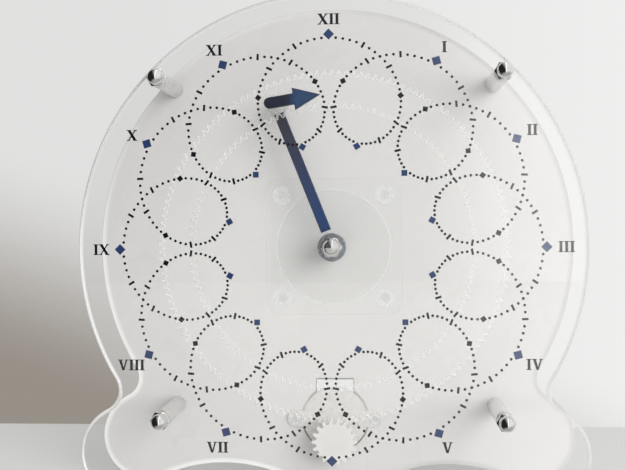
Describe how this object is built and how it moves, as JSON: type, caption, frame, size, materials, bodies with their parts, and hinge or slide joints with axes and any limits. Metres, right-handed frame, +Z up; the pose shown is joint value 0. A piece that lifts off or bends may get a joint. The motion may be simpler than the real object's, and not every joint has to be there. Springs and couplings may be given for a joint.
{
  "type": "planetary desk clock",
  "caption": "Free-standing desk clock of clear and white acrylic plates, whose motor-driven hour bar carries an arrow that rolls round a fixed gear and points along a looped dial.",
  "frame": {"origin": "middle of the clock's base, on the surface that it stands on", "axes": "+Z up, +Y from the dial towards the back, +X to the right as seen from the dial's side"},
  "size_m": [0.208, 0.062, 0.208],
  "materials": {
    "clear_acrylic": "clear polished sheet with bright cut edges",
    "white_acrylic": "opal white sheet, satin gloss",
    "blue_acrylic": "deep blue sheet",
    "navy_acrylic": "dark navy sheet",
    "clear_nylon": "translucent nylon",
    "bright_nickel": "bright plated",
    "plain_steel": "zinc-plated steel",
    "motor_steel": "drawn steel",
    "white_plastic": "moulded plastic",
    "board_green": "glass-fibre board with solder mask",
    "black_plastic": "moulded plastic"
  },
  "bodies": {
    "root": {"front_plate": "clear_acrylic", "back_plate": "white_acrylic", "corner_spacers": "bright_nickel", "corner_screws": "plain_steel", "corner_cap_nuts": "bright_nickel", "axle": "plain_steel", "axle_nuts": "plain_steel", "axle_washers": "plain_steel", "hub_cap_nut": "bright_nickel", "support_plate": "clear_acrylic", "support_screws": "clear_nylon", "support_nuts": "clear_nylon", "sun_gear": "clear_acrylic", "motor_flange": "motor_steel", "motor_can": "motor_steel", "motor_cover": "white_plastic", "motor_screws": "clear_nylon", "motor_nuts": "clear_nylon", "controller_board": "board_green", "board_spacers": "clear_nylon", "board_screws": "plain_steel", "processor_module": "motor_steel", "driver_chip": "black_plastic", "motor_header": "black_plastic", "power_inlet": "motor_steel"},
    "carrier": {"drive_gear": "clear_acrylic", "hub_disc": "clear_acrylic", "hub_bush": "plain_steel", "hour_bar": "blue_acrylic", "planet_bush": "clear_nylon"},
    "planet": {"planet_gear": "clear_acrylic", "planet_axle": "plain_steel", "planet_spacer": "clear_nylon", "planet_collar": "plain_steel", "arrow": "navy_acrylic"},
    "motor_output": {"motor_shaft": "plain_steel", "motor_pinion": "clear_acrylic"}
  },
  "joints": [
    {"name": "hand_turn", "type": "hinge", "parent": "root", "child": "carrier", "pos_m": [0, 0, 0.104], "axis": [0, 1, 0], "continuous": true},
    {"name": "arrow_turn", "type": "hinge", "parent": "carrier", "child": "planet", "pos_m": [-0.02377, 0, 0.1645], "axis": [0, 1, 0], "continuous": true},
    {"name": "motor_turn", "type": "hinge", "parent": "root", "child": "motor_output", "pos_m": [0, 0, 0.02], "axis": [0, 1, 0], "continuous": true}
  ],
  "couplings": [
    {"joint": "arrow_turn", "follows": "hand_turn", "ratio": 12},
    {"joint": "motor_turn", "follows": "hand_turn", "ratio": -8.3333}
  ]
}
